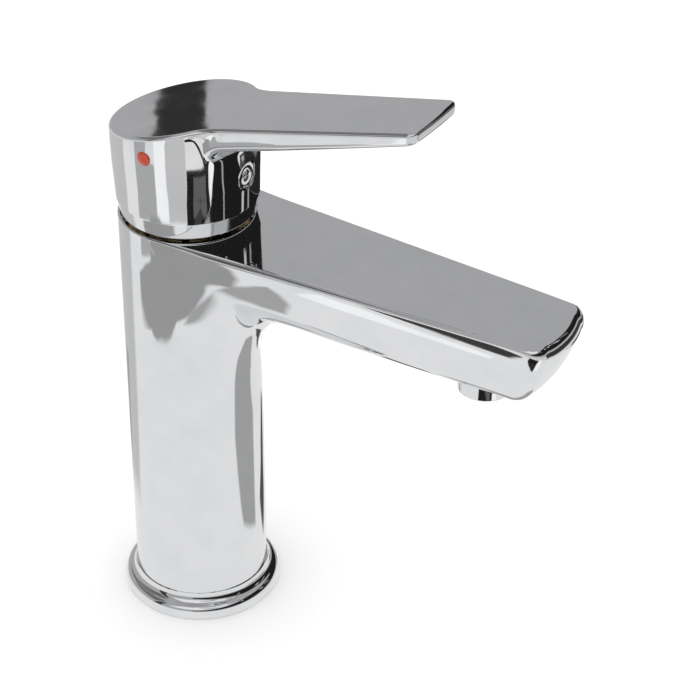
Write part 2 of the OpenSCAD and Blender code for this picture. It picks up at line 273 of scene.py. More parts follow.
def body_rows():
    """Rows of points up the column, through the bend, along the spout and round its tip.

    The wall is laid out point by point because its section changes all the way along.
    """
    column_steps, bend_steps, arm_steps, tip_steps, rear_lines = 18, 7, 16, 34, 26
    angles = [theta_of(j) for j in range(FRONT_LINES + 1)]
    angles += [math.pi / 2 * (1 + i / rear_lines) for i in range(1, rear_lines + 1)]
    level = [spout_level(j, 0)[2] for j in range(FRONT_LINES + 1)]
    reach = [max(r, LEAST_REACH) for r in BEND_R]
    top = TOP_Z - REAR_ROLL
    level[-1] = top
    rows = []
    for k in range(column_steps + bend_steps + 1):
        row = []
        for j, a in enumerate(angles):
            x, y = COLUMN_R * math.cos(a), COLUMN_R * math.sin(a)
            start = level[j] - reach[j] if j <= FRONT_LINES else top - reach[-1]
            if k <= column_steps:
                row.append([x, y, start * k / column_steps])
            elif j > FRONT_LINES:
                row.append([x, y, start + (top - start) * (k - column_steps) / bend_steps])
            else:
                row.append(bend_point(j, (k - column_steps) / bend_steps - 1, level[j], reach[j]))
        rows.append(row)
    for k in range(1, bend_steps + 1):
        rows.append([bend_point(j, k / bend_steps, level[j], reach[j]) for j in range(FRONT_LINES + 1)])
    for k in range(1, arm_steps + 1):
        row = []
        for j in range(FRONT_LINES + 1):
            x0 = COLUMN_R * math.cos(angles[j]) + reach[j]
            row.append(arm_point(j, x0 + (TIP_START - x0) * k / arm_steps))
        rows.append(row)
    for k in range(1, tip_steps + 1):
        rows.append([tip_point(j, k / tip_steps) for j in range(FRONT_LINES + 1)])
    return rows, column_steps + bend_steps


rows, corner_row = body_rows()
body = grid_piece("cast_body", rows)

# the rolled top edge: from the wall's upper boundary inwards and up to the flat top
edge = list(reversed(rows[corner_row][FRONT_LINES:])) + [row[-1] for row in rows[corner_row + 1:]]
ROLL_STEPS = 7


def roll_inwards(edge, deep, top_of):
    """Rows of points that roll an edge inwards and up, by its own height and depth at each point."""
    inner = []
    for i, p in enumerate(edge):
        a, b = edge[max(i - 1, 0)], edge[min(i + 1, len(edge) - 1)]
        tx, ty = b[0] - a[0], b[1] - a[1]
        if i == 0:
            tx, ty = 0.0, 1.0
        if i == len(edge) - 1:
            tx, ty = 0.0, -1.0
        size = math.hypot(tx, ty)
        inner.append([p[0] + ty / size * deep(p), max(p[1] - tx / size * deep(p), 0.0)])
    made = []
    for step in range(ROLL_STEPS + 1):
        phi = math.pi / 2 * step / ROLL_STEPS
        across, up = 1 - math.cos(phi), math.sin(phi)
        made.append([[p[0] + (q[0] - p[0]) * across, p[1] + (q[1] - p[1]) * across,
                      p[2] + (top_of(q[0]) - p[2]) * up] for p, q in zip(edge, inner)])
    return made


def spout_roll_deep(p):
    """Width of the body's rolled edge at a point: narrow by the seat, wide at the tip."""
    tip = smooth((TOP_Z - SIDE_ROLL - p[2]) / (TIP_ROLL - SIDE_ROLL))
    rear = REAR_ROLL * 0.9
    return rear + (SIDE_ROLL - rear) * rim_share(p[0]) + (TIP_ROLL_DEEP - SIDE_ROLL) * tip


def close_with_roll(piece, roll_rows):
    """Joins a rolled top edge to a half wall and makes the closed whole of them."""
    roll = grid_piece("roll", roll_rows)
    only(piece)
    roll.select_set(True)
    bpy.ops.object.join()
    mirror_half(piece)


close_with_roll(body, roll_inwards(edge, spout_roll_deep, lambda x: TOP_Z))


def soften(piece, share_at, rounds):
    """Smooths a piece where share_at gives more than 0 for a point in millimetres."""
    group = piece.vertex_groups.new(name="soften")
    for vertex in piece.data.vertices:
        share = share_at(*(c / MM for c in vertex.co))
        if share > 0.001:
            group.add([vertex.index], share, "REPLACE")
    apply(piece, "SMOOTH", vertex_group="soften", factor=0.5, iterations=rounds)
    piece.vertex_groups.clear()


# the wide hollow blend between the column and the spout's sides
soften(body, lambda x, y, z: smooth((148.6 - z) / 7) * smooth((z - 84) / 22) * smooth((x + 1) / 9)
       * (1 - smooth((x - 40) / 26)), 60)


def lathe(name, profile, x=0.0, steps=96):
    """A piece spun about the upright axis at x, from a closed profile of (radius, height) in millimetres."""
    mesh = bpy.data.meshes.new(name)
    edges = [(i, (i + 1) % len(profile)) for i in range(len(profile))]
    mesh.from_pydata([((x + r) * MM, 0, z * MM) for r, z in profile], edges, [])
    piece = bpy.data.objects.new(name, mesh)
    bpy.context.scene.collection.objects.link(piece)
    only(piece)
    bpy.ops.object.mode_set(mode="EDIT")
    bpy.ops.mesh.select_all(action="SELECT")
    bpy.ops.mesh.spin(steps=steps, angle=math.tau, center=(x * MM, 0, 0), axis=(0, 0, 1))
    bpy.ops.mesh.select_all(action="SELECT")
    bpy.ops.mesh.remove_doubles(threshold=0.000002)
    bpy.ops.mesh.normals_make_consistent(inside=False)
    bpy.ops.mesh.select_all(action="DESELECT")
    bpy.ops.object.mode_set(mode="OBJECT")
    return piece


def arc(cx, cy, r, start, end, n=8):
    """Points on an arc, by angles in degrees."""
    return [(cx + r * math.cos(math.radians(start + (end - start) * i / n)),
             cy + r * math.sin(math.radians(start + (end - start) * i / n))) for i in range(n + 1)]


def finish_chrome(piece, angle=32):
    """Smooth shading with the flats kept flat."""
    only(piece)
    bpy.ops.object.shade_smooth_by_angle(angle=math.radians(angle))
    apply(piece, "WEIGHTED_NORMAL", keep_sharp=True, weight=50)


# the bores: foot, hose space, cartridge chamber, nut thread and the ball-shaped seat of the handle
SEAT_R = 23.5
seat = [(math.sqrt(SEAT_R ** 2 - (z - PIVOT_Z) ** 2), z) for z in (147.6, 148.6, 149.6, 150.6, 151.1, 152, 153)]
cut(body, lathe("bore", [(0, -2), (16.5, -2), (16.5, 12), (20, 12), (20, 102.4), (20.9, 102.4),
                         (20.9, 104), (20, 104), (20, 118.9), (18.6, 118.9), (18.6, 120), (17.6, 120),
                         (17.6, 137.5), (20.05, 137.5), (20.05, 147.6)] + seat + [(0, 153)]))
cut(body, lathe("outlet", [(0, 118), (9.0, 118), (9.0, 127.8), (8.25, 127.8), (8.25, 135), (0, 135)],
                x=OUTLET_X))
finish_chrome(body)
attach(body, "faucet")
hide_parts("body")


def node_group(name, inputs, outputs):
    """An empty shader node group with named sockets, and its input and output nodes."""
    group = bpy.data.node_groups.new(name, "ShaderNodeTree")
    for socket_name, kind, value in inputs:
        socket = group.interface.new_socket(socket_name, in_out="INPUT", socket_type=kind)
        if value is not None:
            socket.default_value = value
    for socket_name, kind in outputs:
        group.interface.new_socket(socket_name, in_out="OUTPUT", socket_type=kind)
    return group, group.nodes.new("NodeGroupInput"), group.nodes.new("NodeGroupOutput")


def noise(tree, vector, scale, detail=3.0, rough=0.5):
    """A noise texture; its scale is a number or another node's output."""
    node = tree.nodes.new("ShaderNodeTexNoise")
    node.inputs["Detail"].default_value = detail
    node.inputs["Roughness"].default_value = rough
    tree.links.new(vector, node.inputs["Vector"])
    if isinstance(scale, (int, float)):
        node.inputs["Scale"].default_value = scale
    else:
        tree.links.new(scale, node.inputs["Scale"])
    return node.outputs["Fac"]


def math_node(tree, how, a, b):
    """One sum on two values, each a number or a node's output."""
    node = tree.nodes.new("ShaderNodeMath")
    node.operation = how
    for socket, value in zip(node.inputs, (a, b)):
        if isinstance(value, (int, float)):
            socket.default_value = value
        else:
            tree.links.new(value, socket)
    return node.outputs[0]


def spread(tree, value, low, high, to_low=0.0, to_high=1.0):
    """Stretches part of a value's range over another range."""
    node = tree.nodes.new("ShaderNodeMapRange")
    node.inputs["From Min"].default_value = low
    node.inputs["From Max"].default_value = high
    node.inputs["To Min"].default_value = to_low
    node.inputs["To Max"].default_value = to_high
    tree.links.new(value, node.inputs["Value"])
    return node.outputs["Result"]


def stretch(tree, vector, x, y, z):
    """Scales a pattern by a different amount along each axis."""
    node = tree.nodes.new("ShaderNodeMapping")
    node.inputs["Scale"].default_value = (x, y, z)
    tree.links.new(vector, node.inputs["Vector"])
    return node.outputs["Vector"]


# wear: cloudy films and sparse fine scratches, as a colour, a roughness and a height
WEAR, wear_in, wear_out = node_group(
    "wear",
    [("Vector", "NodeSocketVector", None), ("Grain", "NodeSocketFloat", 90.0),
     ("Scratches", "NodeSocketFloat", 0.5), ("Light", "NodeSocketColor", None),
     ("Dark", "NodeSocketColor", None), ("Clean", "NodeSocketFloat", 0.1), ("Dull", "NodeSocketFloat", 0.3)],
    [("Color", "NodeSocketColor"), ("Roughness", "NodeSocketFloat"), ("Height", "NodeSocketFloat")])
film = spread(WEAR, noise(WEAR, wear_in.outputs["Vector"], wear_in.outputs["Grain"], 5.0, 0.6), 0.38, 0.72)
fine = math_node(WEAR, "MULTIPLY", wear_in.outputs["Grain"], 16.0)
scratch_one = noise(WEAR, stretch(WEAR, wear_in.outputs["Vector"], 1, 1, 0.05), fine, 2.0)
scratch_two = noise(WEAR, stretch(WEAR, wear_in.outputs["Vector"], 0.06, 1, 1), fine, 2.0)
lines = math_node(WEAR, "MAXIMUM", spread(WEAR, scratch_one, 0.66, 0.74),
                  spread(WEAR, scratch_two, 0.68, 0.76))
lines = math_node(WEAR, "MULTIPLY", lines, wear_in.outputs["Scratches"])
mask = math_node(WEAR, "MAXIMUM", math_node(WEAR, "MULTIPLY", film, 0.6), lines)
tint = WEAR.nodes.new("ShaderNodeMix")
tint.data_type = "RGBA"
WEAR.links.new(mask, tint.inputs[0])
WEAR.links.new(wear_in.outputs["Light"], tint.inputs[6])
WEAR.links.new(wear_in.outputs["Dark"], tint.inputs[7])
WEAR.links.new(tint.outputs[2], wear_out.inputs["Color"])
gloss = WEAR.nodes.new("ShaderNodeMix")
WEAR.links.new(mask, gloss.inputs[0])
WEAR.links.new(wear_in.outputs["Clean"], gloss.inputs[2])
WEAR.links.new(wear_in.outputs["Dull"], gloss.inputs[3])
WEAR.links.new(gloss.outputs[0], wear_out.inputs["Roughness"])
WEAR.links.new(math_node(WEAR, "SUBTRACT", film, lines), wear_out.inputs["Height"])


def finish(name, light, dark, clean, dull, metallic=0.0, grain=90.0, scratches=0.5, relief=0.00001):
    """A material with the wear group, and its tree, object coordinates and bump node for what is added."""
    made = bpy.data.materials.new(name)
    made.use_nodes = True
    tree = made.node_tree
    shader = tree.nodes["Principled BSDF"]
    shader.inputs["Metallic"].default_value = metallic
    place = tree.nodes.new("ShaderNodeTexCoord").outputs["Object"]
    marks = tree.nodes.new("ShaderNodeGroup")
    marks.node_tree = WEAR
    marks.inputs["Grain"].default_value = grain
    marks.inputs["Scratches"].default_value = scratches
    marks.inputs["Light"].default_value = (*light, 1)
    marks.inputs["Dark"].default_value = (*dark, 1)
    marks.inputs["Clean"].default_value = clean
    marks.inputs["Dull"].default_value = dull
    tree.links.new(place, marks.inputs["Vector"])
    tree.links.new(marks.outputs["Color"], shader.inputs["Base Color"])
    tree.links.new(marks.outputs["Roughness"], shader.inputs["Roughness"])
    bump = tree.nodes.new("ShaderNodeBump")
    bump.inputs["Distance"].default_value = relief
    tree.links.new(marks.outputs["Height"], bump.inputs["Height"])
    tree.links.new(bump.outputs["Normal"], shader.inputs["Normal"])
    return made, tree, place, bump


def wear_material(piece, made):
    """Gives a piece one material all over."""
    piece.data.materials.clear()
    piece.data.materials.append(made)


# polished chrome: a mirror with faint films and hairlines over the slow ripple of a hand-buffed casting
chrome, tree, place, bump = finish("chrome", (0.83, 0.835, 0.845), (0.74, 0.75, 0.765), 0.025, 0.09,
                                   metallic=1.0, grain=70.0, scratches=0.35, relief=0.0000006)
ripple = tree.nodes.new("ShaderNodeBump")
ripple.inputs["Distance"].default_value = 0.00004
tree.links.new(noise(tree, place, 55.0, 1.0), ripple.inputs["Height"])
tree.links.new(ripple.outputs["Normal"], bump.inputs["Normal"])
wear_material(body, chrome)


# ---------------------------------------------------------------- foot: base ring and gasket
# The ring under the column is turned brass, chrome plated, with a rounded shoulder and a hollow
# sweep up to the column. It traps a black rubber gasket that seals on the basin.

RING_R = 27.3
RING_TOP = 8.5

SHOULDER = 2.6


def bezier(a, b, c, d, t):
    """A point on the curve of four control points."""
    s = 1 - t
    return [s ** 3 * p + 3 * s * s * t * q + 3 * s * t * t * r + t ** 3 * u
            for p, q, r, u in zip(a, b, c, d)]


sweep = [(25.37, 5.11), (24.3, 5.5), (23.45, 6.7), (23.3, RING_TOP - 0.1)]
hollow_sweep = [bezier(*sweep, i / 12) for i in range(1, 13)]
ring = lathe("foot_ring", [(23.05, 2.1), (26.0, 2.1), (26.0, 0.0), (27.0, 0.0), (27.2, 0.1), (RING_R, 0.35)]
             + arc(RING_R - SHOULDER, SHOULDER, SHOULDER, 0, 75, 12) + hollow_sweep
             + [(23.2, RING_TOP), (23.05, RING_TOP)], steps=128)
finish_chrome(ring)
wear_material(ring, chrome)
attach(ring, "faucet")
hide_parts("base_ring")

rubber = finish("rubber", (0.035, 0.035, 0.037), (0.075, 0.073, 0.07), 0.5, 0.8, grain=400.0, relief=0.00004)[0]
wear_material(nodes["base_gasket"], rubber)


# ---------------------------------------------------------------- inlet block
# A turned brass insert that both hoses screw into, sealed by a rubber ring and kept in the column
# by a spring steel ring. It sits out of sight, above the hollow foot.

# fine turning lines: bands along the upright axis, uneven in depth
TURNED, turned_in, turned_out = node_group(
    "turned_lines", [("Vector", "NodeSocketVector", None), ("Pitch", "NodeSocketFloat", 900.0)],
    [("Height", "NodeSocketFloat")])
bands = noise(TURNED, stretch(TURNED, turned_in.outputs["Vector"], 0.02, 0.02, 1),
              turned_in.outputs["Pitch"], 2.0, 0.7)
TURNED.links.new(bands, turned_out.inputs["Height"])


def turned(name, light, dark, clean, dull, grain, pitch, depth):
    """A turned metal: the wear of finish over fine turning lines."""
    made, tree, place, bump = finish(name, light, dark, clean, dull, metallic=1.0, grain=grain)
    groove = tree.nodes.new("ShaderNodeGroup")
    groove.node_tree = TURNED
    groove.inputs["Pitch"].default_value = pitch
    tree.links.new(place, groove.inputs["Vector"])
    relief = tree.nodes.new("ShaderNodeBump")
    relief.inputs["Distance"].default_value = depth
    tree.links.new(groove.outputs["Height"], relief.inputs["Height"])
    tree.links.new(relief.outputs["Normal"], bump.inputs["Normal"])
    return made


brass = turned("brass", (0.80, 0.60, 0.30), (0.55, 0.37, 0.17), 0.22, 0.42, 120.0, 1500.0, 0.00005)
steel = turned("steel", (0.60, 0.60, 0.61), (0.40, 0.40, 0.41), 0.25, 0.45, 150.0, 2500.0, 0.00003)
for name, made in (("inlet_block", brass), ("block_seal", rubber), ("block_retainer", steel)):
    wear_material(nodes[name], made)


# ---------------------------------------------------------------- cartridge
# A sealed single-lever cartridge: white moulded housing and rotor, a blue base, two lapped ceramic
# discs moved by a carrier, and a brass spindle that tilts on a steel pin.

white_plastic = finish("white_plastic", (0.84, 0.84, 0.82), (0.72, 0.71, 0.68), 0.28, 0.45, grain=260.0,
                       scratches=0.2, relief=0.00002)[0]
blue_plastic = finish("blue_plastic", (0.12, 0.27, 0.58), (0.08, 0.19, 0.44), 0.28, 0.45, grain=260.0,
                      scratches=0.2, relief=0.00002)[0]
ceramic = finish("ceramic", (0.90, 0.89, 0.85), (0.82, 0.80, 0.75), 0.08, 0.2, grain=700.0,
                 scratches=0.1, relief=0.000004)[0]
for name, made in (("cartridge_housing", white_plastic), ("cartridge_base", blue_plastic),
                   ("hot_seal", rubber), ("cold_seal", rubber), ("housing_o_ring", rubber),
                   ("fixed_disc", ceramic), ("moving_disc", ceramic), ("disc_carrier", white_plastic),
                   ("rotor", white_plastic), ("pivot_pin", steel), ("spindle", brass)):
    wear_material(nodes[name], made)


# ---------------------------------------------------------------- nut and bonnet
# A brass nut holds the cartridge down. The chrome-plated bonnet slips over it and shows through
# the narrow gap under the handle.

bonnet = lathe("bonnet_shell", [(14.65, 145.1), (16.2, 145.1)] + arc(12.2, 155.6, 4, 0, 90, 14)
               + [(11.7, 159.6), (11.7, 158.7), (14.65, 158.7)])
finish_chrome(bonnet)
wear_material(bonnet, chrome)
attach(bonnet, "faucet")
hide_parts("bonnet")
wear_material(nodes["cartridge_nut"], brass)


# ---------------------------------------------------------------- handle: head and lever
# The handle is a die-cast zinc cap, hollow under its round head, with a flat lever that rises
# forwards. It is chrome plated, sits on the spindle's square and is held by a screw from the front.

LEVER_REACH = 91.3
HANDLE_TOP = 187.6
HANDLE_SLOPE = 0.248
HEAD_R = 23.9
# radius of the head's wall where the lever grows out of it
ROOT_R = 23.4
BLEND_R = 12.0
EDGE_ROLL = 1.15
# lines along the lever: over its flat underside, round its lower corner and up its side
FLAT_LINES, CORNER_LINES, SIDE_LINES = 9, 8, 7
LAST_UNDER = FLAT_LINES + CORNER_LINES
LAST_LINE = LAST_UNDER + SIDE_LINES
# height and radius of the head's wall, from its rounded lower rim up
HEAD_PROFILE = [(152.2, 21.6), (152.25, 21.85), (152.45, 22.02), (152.8, 22.1), (155.2, 22.62),
                (157.3, 23.06), (157.75, 23.2), (158.3, 23.3), (165.0, 23.45), (172.0, 23.75),
                (178.0, HEAD_R), (215.0, HEAD_R)]


def lever_half(x):
    """Half the lever's width; it narrows towards the tip."""
    return 15.7 - 0.0381 * (x - 23)


def lever_low(x):
    """Height of the lever's underside; it rises faster than the top, so the lever thins out."""
    return HANDLE_TOP - 10.44 + (HANDLE_SLOPE + 0.0683) * x


def handle_top(x):
    """Height of the flat top."""
    return HANDLE_TOP + HANDLE_SLOPE * x


def head_r(z):
    """Radius of the head's wall at a height."""
    for (z0, r0), (z1, r1) in zip(HEAD_PROFILE, HEAD_PROFILE[1:]):
        if z <= z1:
            return r0 + (r1 - r0) * max(z - z0, 0) / (z1 - z0)
    return HEAD_R


def head_point(angle, z):
    """A point of the head's wall; its back bulges a little above the crease."""
    r = head_r(z)
    bulge = 1 + 0.026 * smooth((z - 157.5) / 12) * max(-math.cos(angle), 0)
    return [r * math.cos(angle) * bulge, r * math.sin(angle), z]


def corner_radius(x):
    """Radius of the lever's lower corner."""
    return 2.7 - 1.5 * (x - 23) / (LEVER_REACH - 23)


def lever_section(j, x):
    """Side inset and height of lever line j at a distance x from the axis."""
    r = corner_radius(x)
    low, top = lever_low(x), handle_top(x) - EDGE_ROLL
    if j <= FLAT_LINES:
        return lever_half(x) - (lever_half(x) - r) * j / FLAT_LINES, low
    if j <= LAST_UNDER:
        a = math.pi / 2 * (j - FLAT_LINES) / CORNER_LINES
        return r - r * math.sin(a), low + r - r * math.cos(a)
    return 0.0, low + r + (top - low - r) * (j - LAST_UNDER) / SIDE_LINES


def lever_point(j, x):
    """A point of lever line j."""
    inset, z = lever_section(j, x)
    return [x, lever_half(x) - inset, z]


# where the round blend between the head and the lever's side starts
BLEND_Y = lever_half(23) + BLEND_R
BLEND_X = math.sqrt((HEAD_R + BLEND_R) ** 2 - BLEND_Y ** 2)
BLEND_ANGLE = math.atan2(BLEND_Y, BLEND_X)


def line_angle(j):
    """Angle round the head at which lever line j starts."""
    if j <= LAST_UNDER:
        return math.asin((lever_half(20) - lever_section(j, 20)[0]) / ROOT_R)
    low = math.asin(lever_half(20) / ROOT_R)
    return low + (BLEND_ANGLE - low) * (j - LAST_UNDER) / SIDE_LINES


ROOT_LENGTH = 5.2
ROOT_PULL = 2.9


def root_path(j):
    """The four control points of lever line j's bend from the head's wall to the lever."""
    share = j / LAST_LINE
    angle = line_angle(j)
    z = lever_section(j, ROOT_R * math.cos(angle))[1]
    rise = 5.6 * (1 - share) ** 0.7 + 0.02
    a = head_point(angle, z - rise)
    if j <= FLAT_LINES:
        end_x = ROOT_R * math.cos(angle) + ROOT_LENGTH
    else:
        flat_end = ROOT_R * math.cos(line_angle(FLAT_LINES)) + ROOT_LENGTH
        end_x = flat_end + (BLEND_X + 1.0 - flat_end) * (j - FLAT_LINES) / (LAST_LINE - FLAT_LINES)
    d = lever_point(j, end_x)
    turn = smooth((share - 0.55) / 0.45)
    b = [a[0] + math.sin(angle) * ROOT_PULL * turn, a[1] - math.cos(angle) * ROOT_PULL * turn,
         a[2] + rise * 0.6 * (1 - turn * 0.5)]
    c = [d[0] - ROOT_PULL, d[1] + 0.038 * ROOT_PULL, d[2] - 0.3 * ROOT_PULL]
    return a, b, c, d


LEVER_TIP_START = 74.0


def lever_tip_point(j, s):
    """Round the lever's tip: s from 0 on the side to 1 on the middle plane."""
    x0 = LEVER_TIP_START
    y0 = lever_point(j, x0)[1]
    inset = lever_half(x0) - y0
    if j > FLAT_LINES:
        end = LEVER_REACH - lever_section(j, LEVER_REACH - 3)[0]
    else:
        end = LEVER_REACH - (corner_radius(LEVER_REACH) + (inset - corner_radius(x0)) * 0.9)
    corner = min(max(3.2 - inset * 0.6, 0.8), max(y0 * 0.5, 0.0))
    xc = end - corner - 0.35
    yc = max(lever_half(xc) - inset * (lever_half(xc) / lever_half(x0)) - corner, 0.0)
    side = [(x0, y0), (xc, yc + corner)]
    bend = [(xc + corner * math.sin(math.pi / 2 * i / 12), yc + corner * math.cos(math.pi / 2 * i / 12))
            for i in range(13)]
    x1, y1 = bend[-1]
    front = [(x1 + (end - x1) * (1 - (1 - i / 8) ** 2), y1 * (1 - i / 8)) for i in range(9)]
    if s < 0.35:
        x, y = along(side, s / 0.35)
    elif s < 0.65:
        x, y = along(bend, (s - 0.35) / 0.3)
    else:
        x, y = along(front, (s - 0.65) / 0.35)
    return [x, y, lever_section(j, x)[1]]


# height of the wall's last stretch below the top edge, where it isn't part of the bend
WALL_REST = 2.2


def handle_rows():
    """Rows of points up the head, through the lever's root, along the lever and round its tip."""
    rear_lines, wall_steps, bend_steps, lever_steps, tip_steps = 40, 10, 12, 20, 26
    lever_lines = range(LAST_LINE + 1)
    angles = [line_angle(j) for j in lever_lines]
    angles += [BLEND_ANGLE + (math.pi - BLEND_ANGLE) * i / rear_lines for i in range(1, rear_lines + 1)]
    rim = [z for z, _ in HEAD_PROFILE[:9]]
    rows = [[head_point(a, z) for a in angles] for z in rim]
    paths = [root_path(j) for j in lever_lines]
    for k in range(1, wall_steps + bend_steps + 1):
        bend_share = (k - wall_steps) / bend_steps
        row = []
        for i, a in enumerate(angles):
            if i < LAST_LINE:
                top = paths[i][0][2]
            elif i == LAST_LINE:
                top = paths[i][0][2] - WALL_REST
            else:
                top = handle_top(head_point(a, 190)[0]) - EDGE_ROLL - WALL_REST
            if k <= wall_steps:
                row.append(head_point(a, rim[-1] + (top - rim[-1]) * k / wall_steps))
            elif i < LAST_LINE:
                # the first half of the bend
                row.append(bezier(*paths[i], 0.5 * bend_share))
            else:
                row.append(head_point(a, top + WALL_REST * bend_share))
        rows.append(row)
    corner = len(rows) - 1
    for k in range(1, bend_steps + 1):
        rows.append([bezier(*paths[j], 0.5 + 0.5 * k / bend_steps if j < LAST_LINE else k / bend_steps)
                     for j in lever_lines])
    for k in range(1, lever_steps + 1):
        rows.append([lever_point(j, paths[j][3][0] + (LEVER_TIP_START - paths[j][3][0]) * k / lever_steps)
                     for j in lever_lines])
    for k in range(1, tip_steps + 1):
        rows.append([lever_tip_point(j, k / tip_steps) for j in lever_lines])
    return rows, corner


rows, corner_row = handle_rows()
handle = grid_piece("handle_cap", rows)
edge = list(reversed(rows[corner_row][LAST_LINE:])) + [row[-1] for row in rows[corner_row + 1:]]
close_with_roll(handle, roll_inwards(edge, lambda p: EDGE_ROLL * 1.1, handle_top))
# the root under the lever
soften(handle, lambda x, y, z: smooth((handle_top(x) - 1.4 - z) / 2.5) * smooth((z - 166) / 6)
       * smooth((x - 6) / 8) * (1 - smooth((x - 34) / 12)), 24)


def drum(radius, low, high, middle, lies_along, sides):
    """A round cutter in millimetres, along X, Y or Z from low to high; middle is its other two coordinates."""
    along_axis = "XYZ".index(lies_along)
    place = list(middle)
    place.insert(along_axis, (low + high) / 2)
    turn = {"X": (0, math.pi / 2, 0), "Y": (math.pi / 2, 0, 0), "Z": (0, 0, 0)}[lies_along]
    bpy.ops.object.select_all(action="DESELECT")
    bpy.ops.mesh.primitive_cylinder_add(vertices=sides, radius=radius * MM, depth=abs(high - low) * MM,
                                        location=[c * MM for c in place], rotation=turn)
    piece = bpy.context.object
    bpy.ops.object.transform_apply(location=True, rotation=True, scale=True)
    return piece


# the hollow: ball shaped below the pivot, with a hub for the spindle and a boss for the screw
HOLLOW_R = 20.8
ROOF = 4.5
hollow = lathe("hollow", [(0, 140), (13.37, 140)] + arc(0, PIVOT_Z, HOLLOW_R, -65, 0, 14)
               + [(HOLLOW_R, 205), (0, 205)])
only(hollow)
bpy.ops.object.mode_set(mode="EDIT")
bpy.ops.mesh.select_all(action="SELECT")
slope = math.hypot(HANDLE_SLOPE, 1)
bpy.ops.mesh.bisect(plane_co=(0, 0, (HANDLE_TOP - ROOF) * MM),
                    plane_no=(-HANDLE_SLOPE / slope, 0, 1 / slope), use_fill=True, clear_outer=True)
bpy.ops.object.mode_set(mode="OBJECT")
SCREW_Z = 170
cut(hollow, drum(8.5, 168, 230, (0, 0), "Z", 96))
cut(hollow, drum(6.0, 0, 30, (0, SCREW_Z), "X", 64))
cut(handle, hollow)
# the square socket for the spindle
bpy.ops.object.select_all(action="DESELECT")
bpy.ops.mesh.primitive_cube_add(size=1, location=(0, 0, 0.165))
socket = bpy.context.object
socket.scale = (0.0079, 0.0079, 0.0302)
bpy.ops.object.transform_apply(location=True, rotation=True, scale=True)
cut(handle, socket)
# the screw's hole, the seat of its plug and the seats of the index marks
cut(handle, drum(3.2, 3, 28, (0, SCREW_Z), "X", 64))
cut(handle, drum(4.9, 20.6, 28, (0, SCREW_Z), "X", 64))
INDEX_X, INDEX_Z = 1.0, 180.6
for side in (-1, 1):
    cut(handle, drum(2.4, 22.2 * side, 27.2 * side, (INDEX_X, INDEX_Z), "Y", 48))
finish_chrome(handle)
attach(handle, "lever")
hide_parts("handle")
wear_material(handle, chrome)


# ---------------------------------------------------------------- screw, plug and index marks
# The handle's steel grub screw hides behind a push-in chrome plug with a small dimple. A red and a
# blue domed plug mark the hot and cold sides of the head.

def push_in(name, profile, place, made, stands_for):
    """A small turned plug, laid from its upright axis into its place in the handle."""
    plug = lathe(name, profile, steps=48)
    plug.data.transform(place)
    face_out(plug)
    finish_chrome(plug, 40)
    wear_material(plug, made)
    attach(plug, "lever")
    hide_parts(stands_for)


to_front = Matrix.Translation((0, 0, SCREW_Z * MM)) @ Matrix.Rotation(math.pi / 2, 4, "Y")
push_in("screw_cap", [(0, 20.65), (4.8, 20.65)] + arc(4.2, 22.2, 0.6, 0, 75, 5)
        + [(3.4, 22.9), (2.2, 22.75), (1.3, 22.6), (1.05, 22.45), (0.9, 21.9), (0, 21.8)],
        to_front, chrome, "screw_plug")
index_profile = ([(0, 22.3), (2.35, 22.3)] + arc(1.75, 23.75, 0.6, 0, 70, 5)
                 + [(1.2, 24.42), (0.6, 24.5), (0, 24.52)])
for side, mark, enamel_name, light, dark in (
        (-1, "hot", "hot_red", (0.46, 0.045, 0.015), (0.20, 0.015, 0.01)),
        (1, "cold", "cold_blue", (0.03, 0.11, 0.48), (0.015, 0.05, 0.25))):
    enamel, tree = finish(enamel_name, light, dark, 0.12, 0.3, grain=500.0, scratches=0.3)[:2]
    tree.nodes["Principled BSDF"].inputs["Coat Weight"].default_value = 0.5
    to_side = (Matrix.Translation((INDEX_X * MM, 0, INDEX_Z * MM))
               @ Matrix.Rotation(-math.pi / 2 * side, 4, "X"))
    push_in(mark + "_plug", index_profile, to_side, enamel, mark + "_index")
wear_material(nodes["grub_screw"], steel)


# ---------------------------------------------------------------- aerator
# A turned brass sleeve, chrome plated, that screws up into the spout. It holds a white insert and
# a fine moulded screen against a rubber washer.

SLEEVE_R = 8.7
MOUTH_Z = 121.7

sleeve = lathe("aerator_sleeve", [(6.6, MOUTH_Z + 0.3), (6.8, MOUTH_Z + 0.05), (7.0, MOUTH_Z)]
               + arc(SLEEVE_R - 0.5, MOUTH_Z + 0.5, 0.5, -90, 0, 6)
               + [(SLEEVE_R, 127.7), (SLEEVE_R - 0.5, 127.7), (SLEEVE_R - 0.5, 133.0), (7.2, 133.0),
                  (7.2, MOUTH_Z + 1.6), (6.6, MOUTH_Z + 1.6)], x=OUTLET_X)
finish_chrome(sleeve)
wear_material(sleeve, chrome)
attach(sleeve, "faucet")
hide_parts("aerator_housing")
for name, made in (("aerator_insert", white_plastic), ("aerator_screen", steel),
                   ("aerator_gasket", rubber)):
    wear_material(nodes[name], made)


# ---------------------------------------------------------------- studio: floor, painted reflections and light
# A plain pale floor under an even white light. What the mirror finish shows is painted reflection: black, grey
# and white patches that glow only in reflections, lying on the floor, standing beside the body and hanging on a
# dome around the set, and a grey ceiling that only reflections see.

bpy.ops.object.select_all(action="DESELECT")
bpy.ops.mesh.primitive_plane_add(size=9)
floor = bpy.context.object
floor.name = "floor"
paper = finish("paper", (0.92, 0.92, 0.92), (0.9, 0.9, 0.9), 0.9, 0.95, grain=8.0, scratches=0.0,
               relief=0.0)[0]
wear_material(floor, paper)
